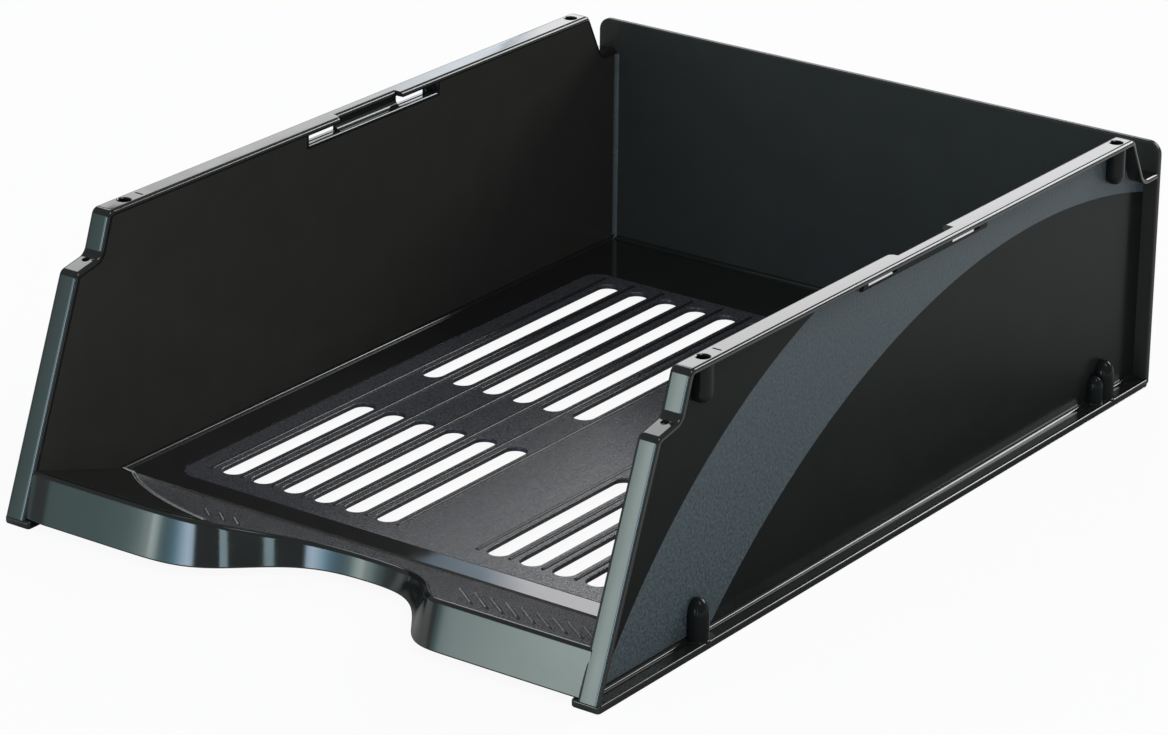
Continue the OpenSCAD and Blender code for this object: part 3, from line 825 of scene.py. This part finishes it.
# %% The ramp's own plane
lip_h = 19.6
lip_setback = 1
cutout_depth = 30.7
cutout_left = 62  # where the finger cut-out starts, to the left of the middle
left_turn, left_outer, left_inner = -34.8, 17.4, 23.4  # steepest place of the long flank, spreads
right_turn, right_inner, right_outer = 46.0, 18.5, 7.5  # the same for the short, steep flank
lip_y = front_y + lip_setback
lip_top_y = lip_y + (lip_h - rail_h) * (lip_h - floor_z) / (ramp_y - lip_y)
ramp_angle = math.atan((lip_h - floor_z) / (ramp_y - lip_top_y))
lip_u = (ramp_y - lip_y) * math.cos(ramp_angle) - (floor_z - rail_h) * math.sin(ramp_angle)
cutout_u = cutout_depth * math.cos(ramp_angle)


def on_ramp(x, down, up):
    """A place given across, down the slope from its top edge at the floor, and square to it."""
    c, s = math.cos(ramp_angle), math.sin(ramp_angle)
    return (x, ramp_y + down * c + up * s, floor_z - down * s + up * c)


def rise(x, turn, before, after):
    """A soft step from 0 to 1, steepest at turn, with its own spread before and after it."""
    reach = math.erf((x - turn) / (before if x < turn else after))
    start = before / (before + after)
    return start + reach * (start if x < turn else 1 - start)


def dip(x):
    """1 at the bottom of the finger cut-out, 0 beside it."""
    return (rise(x, left_turn, left_outer, left_inner)
            - rise(x, right_turn, right_inner, right_outer))


def lip_line(x):
    """Where the lip's line lies at x, in the ramp's plane."""
    return -(lip_u - cutout_u * dip(x))


def lip_way(x):
    """Outward direction of the lip at x, in the ramp's plane."""
    step = 0.01
    slope_here = (lip_line(x + step) - lip_line(x - step)) / (2 * step)
    return Vector((slope_here, -1)).normalized()


print("ramp angle", round(math.degrees(ramp_angle), 2))

# %% Ramp
lip_t = 2
bead_w, bead_rise = 2.8, 0.35
grain_edge = 0.02
gloss_strip = 4.8  # polished strip at the foot of the ramp
lip_steps = 200
lip_xs = [-wall_in + 2 * wall_in * i / lip_steps for i in range(lip_steps + 1)]


def lip_point(x, out):
    """A place beside the lip's line, out along its outward direction, in the ramp's plane."""
    if abs(x) > wall_in - 0.01:
        return Vector((x, lip_line(x) - out))
    return Vector((x, lip_line(x))) + lip_way(x) * out


ramp_edge = [lip_point(x, -bead_w + 0.4) for x in lip_xs]
ramp_loop = anticlockwise(ramp_edge + [Vector((wall_in, -gloss_strip)),
                                         Vector((-wall_in, -gloss_strip))])
ramp = plate("ramp", [ramp_loop], -lip_t, 0, grain_edge, grained_floor, on_ramp)
settle(ramp, ["front_ramp"])
strip = plate("ramp_strip", [rectangle(-wall_in, -gloss_strip, wall_in, 0)], tuck - lip_t, 0,
              grain_edge, wall_black_painted_light, on_ramp)
settle(strip, ["front_ramp"])

# %% Lip
lip_foot_r = 0.7
turn_from, turn_len, turn_back = 110, 8.4, 0.55  # the left end turns back into the flange
lip_end = wall_in + 1.8  # its ends lie hidden in the flanges


def end_turn(x):
    """How far the lip's face has turned back at x."""
    part = min(max((-x - turn_from) / turn_len, 0), 1)
    return turn_back * part * part * (3 - 2 * part)


def lip_section(x):
    """The lip's section at x: bead, leaning face, rounded foot, back."""
    way = lip_way(min(max(x, -wall_in + 0.1), wall_in - 0.1))
    out = Vector((way.x, way.y * math.cos(ramp_angle), 0)).normalized()
    top = Vector(on_ramp(x, lip_line(x), 0))
    top.y += end_turn(x)
    down_ramp = Vector((-out.x, -out.y, out.y * math.tan(ramp_angle))).normalized()
    ramp_up = Vector((0, math.sin(ramp_angle), math.cos(ramp_angle)))
    face_up = Vector((0, 0, math.cos(ramp_angle))) - out * math.sin(ramp_angle)
    face_out = out * math.cos(ramp_angle) + Vector((0, 0, math.sin(ramp_angle)))

    def level(depth):
        """A place in the section at the level of the lip's foot."""
        fall = (top.z - rail_h + face_out.z * depth) / face_up.z
        return top + face_out * depth - face_up * fall

    points = [top + down_ramp * (bead_w + 0.5) - ramp_up * 0.3, top + down_ramp * bead_w]
    for i in range(13):
        turn = math.radians(165 - 165 * i / 12)
        part = min(max(1 - turn / (math.pi / 2), 0), 1)
        axis = ramp_up.lerp(face_up, part)
        points.append(top + down_ramp * (bead_w / 2) * (1 - math.cos(turn))
                      + axis * (-bead_w / 2 + (bead_w / 2 + bead_rise) * math.sin(turn)))
    for turn in quarter_turn(4):
        points.append(level(-lip_foot_r * (1 - math.cos(turn)))
                      + face_up * lip_foot_r * (1 - math.sin(turn)))
    points.append(level(-lip_t))
    points.append(top + down_ramp * lip_t - ramp_up * lip_t)
    points.append(top + down_ramp * (bead_w + 0.5) - ramp_up * lip_t)
    return points


lip_places = [-lip_end] + lip_xs[1:-1] + [lip_end]
lip = sweep("lip", [lip_section(x) for x in lip_places], gloss_black)
settle(lip, ["front_lip"])

# %% [markdown]
# On the left of the ramp lies a polished pad with a curved edge, and two fine raised lines follow
# that edge. Their light grey is a painted highlight for the double light line along that edge.
# A material could draw the lines; as thin rods they also cast their own shade.

# %% Corner pad
pad_t, pad_edge_r, pad_gap, pad_rounding = 0.6, 142, 5.4, 0.3
pad_start = Vector((-wall_in + pad_gap, 0))
pad_end_x = -0.72 * cutout_left
pad_end = Vector((pad_end_x, lip_line(pad_end_x) + lip_t))
half_chord = (pad_end - pad_start).length / 2
pad_rise = pad_edge_r - math.sqrt(pad_edge_r**2 - half_chord**2)
pad_arc = chord_arc(pad_end, pad_start, pad_rise, 32)
pad_front = [lip_point(x, -bead_w) for x in lip_xs if x < pad_end.x - 1]
pad_front[0].x = -wall_in
pad_loop = anticlockwise(pad_front + pad_arc + [Vector((-wall_in, 0))])
pad = plate("pad", [pad_loop], -tuck, pad_t, pad_rounding, gloss_black, on_ramp)
settle(pad, ["corner_pad"])

line_r, line_gap = 0.22, 1.1
for number in (0, 1):
    line_arc = inset(pad_arc, pad_rounding + number * line_gap)[1:-1]
    rows = []
    for i, p in enumerate(line_arc):
        way = (line_arc[min(i + 1, len(line_arc) - 1)] - line_arc[max(i - 1, 0)]).normalized()
        ring = [(line_r * math.cos(t), line_r * math.sin(t))
                for t in (math.pi / 4 * k for k in range(8))]
        rows.append([on_ramp(p.x - way.y * a, p.y + way.x * a, pad_t + b) for a, b in ring])
    line = sweep("pad_highlight_line_%d" % number, rows, painted_highlight)
    settle(line, ["corner_pad"])

# %% [markdown]
# ## Ridges and grip ribs
# Fine half-round ridges run beside the slots, and short ribs lie across the ramp. They could be
# copied in a loop, but both are rows of the same rod, so one Geometry Nodes tree makes them: a
# line of points, a rod on each, and the rods made real, with their material.

# %% Geometry Nodes tree for a row of rods
def rod_row_tree():
    """Rods side by side along X. Each runs from its point along the direction given."""
    tree = bpy.data.node_groups.new("row of rods", "GeometryNodeTree")
    for label, kind, way in (
            ("Geometry", "Geometry", "INPUT"), ("Count", "Int", "INPUT"),
            ("Pitch", "Float", "INPUT"), ("Radius", "Float", "INPUT"),
            ("Direction", "Vector", "INPUT"), ("Start", "Vector", "INPUT"),
            ("Material", "Material", "INPUT"), ("Geometry", "Geometry", "OUTPUT")):
        tree.interface.new_socket(label, in_out=way, socket_type="NodeSocket" + kind)
    group, result = tree.nodes.new("NodeGroupInput"), tree.nodes.new("NodeGroupOutput")
    given = group.outputs

    def step(kind, inputs):
        return add_node(tree, kind, inputs).outputs[0]

    across = step("ShaderNodeCombineXYZ", {"X": given["Pitch"]})
    line = step("GeometryNodeMeshLine", {
        "Count": given["Count"], "Start Location": given["Start"], "Offset": across})
    rod = step("GeometryNodeCurvePrimitiveLine", {"End": given["Direction"]})
    ring = step("GeometryNodeCurvePrimitiveCircle", {"Resolution": 16, "Radius": given["Radius"]})
    tube = step("GeometryNodeCurveToMesh", {
        "Curve": rod, "Profile Curve": ring, "Fill Caps": True})
    ball = step("GeometryNodeMeshUVSphere", {
        "Segments": 16, "Rings": 8, "Radius": given["Radius"]})
    far_ball = step("GeometryNodeTransform", {"Geometry": ball, "Translation": given["Direction"]})
    join = tree.nodes.new("GeometryNodeJoinGeometry")
    for part in (tube, ball, far_ball):
        feed(tree, join, {0: part})
    put = step("GeometryNodeInstanceOnPoints", {"Points": line, "Instance": join.outputs[0]})
    real = step("GeometryNodeRealizeInstances", {0: put})
    feed(tree, result, {0: step("GeometryNodeSetMaterial", {
        "Geometry": real, "Material": given["Material"]})})
    return tree


rod_rows = rod_row_tree()


def row_of_rods(name, count, pitch, radius, start, direction, material):
    """A mesh with a row of rods. Lengths are in millimetres."""
    piece = new_object(name, bpy.data.meshes.new(name))
    change = piece.modifiers.new("rods", "NODES")
    change.node_group = rod_rows
    values = {"Count": count, "Pitch": pitch * MM, "Radius": radius * MM,
              "Start": Vector(start) * MM, "Direction": Vector(direction) * MM,
              "Material": material}
    for item in rod_rows.interface.items_tree:
        if item.in_out == "INPUT" and item.name in values:
            change[item.identifier] = values[item.name]
    return apply_modifiers(piece)


# %% Ridges beside the slots
ridge_r, ridge_extra, ridge_sunk = 0.75, 4, 0.2
ridge_len = front_row + row_bridge + back_row + ridge_extra
for side, first, count, step in (("left", -slot_x, slots_left, slot_pitch),
                                 ("right", slot_x, slots_right, -slot_pitch)):
    ridges = row_of_rods("ridges_" + side, count + 1, step, ridge_r,
                         (first - step / 2, row_front + ridge_r, floor_z - ridge_sunk),
                         (0, ridge_len - 2 * ridge_r, 0), edge_black)
    settle(ridges, ["floor_panel"])

# %% Grip ribs on the ramp
rib_r, rib_len, rib_pitch = 0.5, 23, 6.4
ribs_right, ribs_left = 9, 3
rib_turn = math.radians(45)
# Each crest is a thin rod in light grey. It is a painted highlight for the lit line along each rib.
crest_r, crest_shift, crest_up, crest_part = 0.28, 0.45, 0.2, 0.9  # a fine lit line on each rib
rib_u = lip_u - lip_t - rib_len - 1
last_x = wall_in - rib_len * math.cos(rib_turn) - 2
for side, first, count, step, length in (
        ("right", last_x, ribs_right, -rib_pitch, rib_len),
        ("left", 1 - cutout_left, ribs_left, rib_pitch, rib_len / 2)):
    across, down = length * math.cos(rib_turn), length * math.sin(rib_turn)
    start = Vector(on_ramp(first, -rib_u, -tuck))
    way = Vector(on_ramp(first + across, -rib_u - down, -tuck)) - start
    ribs = row_of_rods("grip_ribs_" + side, count, step, rib_r, start, way, edge_black)
    settle(ribs, ["grip_ribs"])
    start = Vector(on_ramp(first - crest_shift, -rib_u - crest_shift, crest_up))
    crest_highlights = row_of_rods("grip_crest_highlights_" + side, count, step, crest_r, start, way * crest_part,
                         painted_highlight)
    settle(crest_highlights, ["grip_ribs"])

# %% [markdown]
# ## Studio
# The tray stands on a plain white floor under a dim sky. A lit backdrop would also be white, but
# its colour would depend on the lamps. This floor glows white to the camera and to mirrors, and
# stays matt to everything else, so that it still takes a soft shadow. In a mirror it darkens close
# to the tray, as a real floor does under a dark wall.

# %% World and floor
world = bpy.data.worlds.new("studio")
bpy.context.scene.world = world
world.use_nodes = True
feed(world.node_tree, world.node_tree.nodes["Background"],
     {"Color": (0.94, 1.0, 1.0, 1), "Strength": 0.28})

floor_half = 9.0
floor_mesh = bpy.data.meshes.new("studio_floor")
floor_mesh.from_pydata([(x * floor_half, y * floor_half, 0)
                        for x, y in ((-1, -1), (1, -1), (1, 1), (-1, 1))], [], [(0, 1, 2, 3)])
studio_floor = new_object("studio_floor", floor_mesh)
floor_paint = bpy.data.materials.new("white floor")
floor_mesh.materials.append(floor_paint)
print("floor:", 2 * floor_half, "m wide")

# %% The floor's material
floor_glow = 0.93  # the rest is matt and shows the shadow
shade_reach, shade_power = 0.2, 4.0  # how far and how strongly the mirrored floor darkens
floor_paint.use_nodes = True
tree = floor_paint.node_tree


def calculate(operation, first, second):
    """The result of a maths node."""
    return add_node(tree, "ShaderNodeMath", {0: first, 1: second}, operation=operation).outputs[0]


matt = tree.nodes["Principled BSDF"]
feed(tree, matt, {"Base Color": (0.9, 0.9, 0.9, 1), "Roughness": 0.9, "Specular IOR Level": 0.0})
ray = tree.nodes.new("ShaderNodeLightPath").outputs
seen = calculate("MAXIMUM", ray["Is Camera Ray"], ray["Is Glossy Ray"])
seen = calculate("MAXIMUM", seen, ray["Is Transmission Ray"])
shade = add_node(tree, "ShaderNodeAmbientOcclusion", {"Distance": shade_reach}, samples=8)
in_mirror = add_node(tree, "ShaderNodeMix", {
    "Factor": ray["Is Glossy Ray"], "A": 1.0,
    "B": calculate("POWER", shade.outputs["AO"], shade_power)})
glow = add_node(tree, "ShaderNodeEmission", {"Strength": in_mirror.outputs["Result"]})
blend = add_node(tree, "ShaderNodeMixShader", {
    0: calculate("MULTIPLY", seen, floor_glow), 1: matt.outputs[0], 2: glow.outputs[0]})
feed(tree, tree.nodes["Material Output"], {"Surface": blend.outputs[0]})
print("floor material:", len(tree.nodes), "nodes")

# %% [markdown]
# ## Light
# Polished black shows only what it mirrors, so the light is a matter of panels. They could be put
# up by eye; instead each is given by the part of the sky that it fills, because that is what a
# flat face mirrors. The rims and the front strip mirror the low sky behind on the left, their
# outer edges the sky behind on the right, and the lip and the flanges the sky in front. The long
# panel in front carries a row of tones, like a row of softboxes and flags: swept over by the
# lip's wave, they make its light and dark bands.

# %% Tones of the painted panels
# Direction in degrees, from the back (+Y) to the left, and the colour there.
front_peak = 9.0
front_tones = (
    (126, (0.0, 0.0, 0.0)), (136.5, (0.015, 0.02, 0.02)), (139.5, (0.05, 0.08, 0.08)),
    (142.6, (0.085, 0.14, 0.14)), (144.5, (0.17, 0.25, 0.245)), (146.2, (0.29, 0.38, 0.37)),
    (148, (0.36, 0.46, 0.45)), (149.5, (0.66, 0.80, 0.76)), (151.5, (0.52, 0.66, 0.63)),
    (155, (0.17, 0.27, 0.28)), (159, (0.10, 0.185, 0.215)), (164, (0.11, 0.22, 0.28)),
    (168.5, (0.17, 0.33, 0.44)), (173, (0.33, 0.53, 0.68)), (178, (0.55, 0.78, 0.96)),
    (184, (0.78, 1.00, 1.24)), (189, (0.62, 0.82, 1.00)), (191.5, (0.12, 0.17, 0.20)),
    (193.5, (0.0, 0.0, 0.0)),
)
behind_tones = (
    (25, (1.0, 0.98, 1.0)), (36.5, (1.0, 0.98, 1.0)), (37.1, (0.22, 0.30, 0.38)),
    (38.3, (0.14, 0.20, 0.26)), (39.7, (0.0, 0.0, 0.0)),
)
print("tones in front:", len(front_tones), "behind:", len(behind_tones))


# %% Panel builder
panel_distance = 6.0


def half_size(span_of_sky):
    """Half the size of a panel one metre away that fills a span of the sky, in degrees."""
    return math.tan(math.radians(span_of_sky[1] - span_of_sky[0]) / 2)


def paint_panel(data, turn, tones):
    """Paints a lamp with a row of colours across its width."""
    data.use_nodes = True
    tree = data.node_tree
    place = tree.nodes.new("ShaderNodeTexCoord").outputs["UV"]
    across = add_node(tree, "ShaderNodeSeparateXYZ", {0: place})
    row = add_node(tree, "ShaderNodeValToRGB", {"Fac": across.outputs["X"]})
    for direction, colour in tones:
        offset = math.tan(math.radians(direction - sum(turn) / 2)) / half_size(turn)
        stop = row.color_ramp.elements.new((1 + offset) / 2)
        stop.color = (*colour, 1)
    row.color_ramp.elements.remove(row.color_ramp.elements[0])
    row.color_ramp.elements.remove(row.color_ramp.elements[-1])
    feed(tree, tree.nodes["Emission"], {"Color": row.outputs["Color"]})


def panel_of_light(name, turn, height, radiance, colour):
    """A soft light that fills a part of the sky. turn is the range of its direction, height the
    range of its height above the horizon. colour is one colour or a row of tones."""
    flat, rise = math.radians(sum(turn) / 2), math.radians(sum(height) / 2)
    data = bpy.data.lights.new(name, "AREA")
    data.shape = "RECTANGLE"
    data.size = 2 * panel_distance * half_size(turn) * math.cos(rise)
    data.size_y = 2 * panel_distance * half_size(height)
    data.energy = radiance * math.pi * data.size * data.size_y
    if len(colour) == 3:
        data.color = colour
    else:
        paint_panel(data, turn, colour)
    light = new_object(name, data)
    way = Vector((-math.sin(flat) * math.cos(rise), math.cos(flat) * math.cos(rise),
                  math.sin(rise)))
    light.location = way * panel_distance
    light.rotation_euler = way.to_track_quat("Z", "Y").to_euler()
    light.visible_camera = False


# %% Panels of light
# Name, range of direction, range of height, radiance, colour.
panels = (
    ("behind_near", (25, 40), (15, 29), 3.5, behind_tones),
    ("behind_far", (37, 46), (14, 21.3), 2.3, (1.0, 0.99, 0.99)),
    ("upper_left", (38, 60), (33, 46), 3.6, (0.97, 1.0, 1.0)),
    ("behind_right", (-32, -2), (16, 38), 9.5, (0.95, 1.0, 1.0)),
    ("front", (126, 194), (0, 19), front_peak, front_tones),
    ("front_right_strip", (213.6, 217.6), (0, 20), 5.4, (0.65, 0.92, 1.0)),
    ("key", (-115, -85), (45, 70), 4.5, (1.0, 1.0, 1.0)),
)
for panel_of_sky in panels:
    panel_of_light(*panel_of_sky)
print("panels of light:", len(panels))

# %% [markdown]
# The view transform is the plain one, so that a colour renders as it is written.

# %% Finish
bpy.context.scene.view_settings.view_transform = "Standard"
